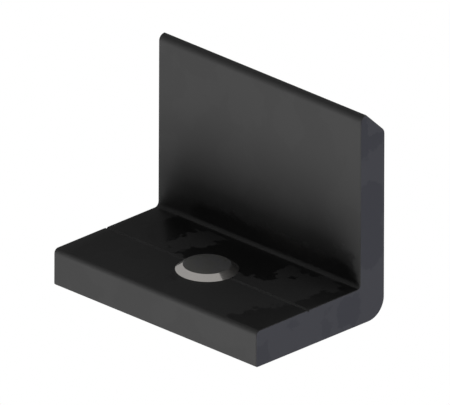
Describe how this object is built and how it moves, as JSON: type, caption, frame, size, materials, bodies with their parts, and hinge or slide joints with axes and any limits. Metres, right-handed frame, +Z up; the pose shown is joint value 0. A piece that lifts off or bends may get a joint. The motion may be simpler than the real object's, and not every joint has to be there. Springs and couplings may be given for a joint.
{
  "type": "solar rail end stop",
  "caption": "L-shaped black anodised aluminium end stop for a solar mounting rail, with a flat-point steel set screw standing in the middle of its base.",
  "frame": {"origin": "middle of the underside of the base, on the surface that the stop stands on", "axes": "+X along the cut length of the profile, +Y from the free edge of the base towards the upright, +Z up"},
  "size_m": [0.05, 0.032, 0.04],
  "materials": {
    "black_anodised_aluminium": "satin black anodised, with faint lines along the profile and matt sawn ends",
    "bare_steel": "bare turned steel"
  },
  "bodies": {
    "root": {"stop_bracket": "black_anodised_aluminium", "set_screw": "bare_steel"}
  },
  "joints": []
}
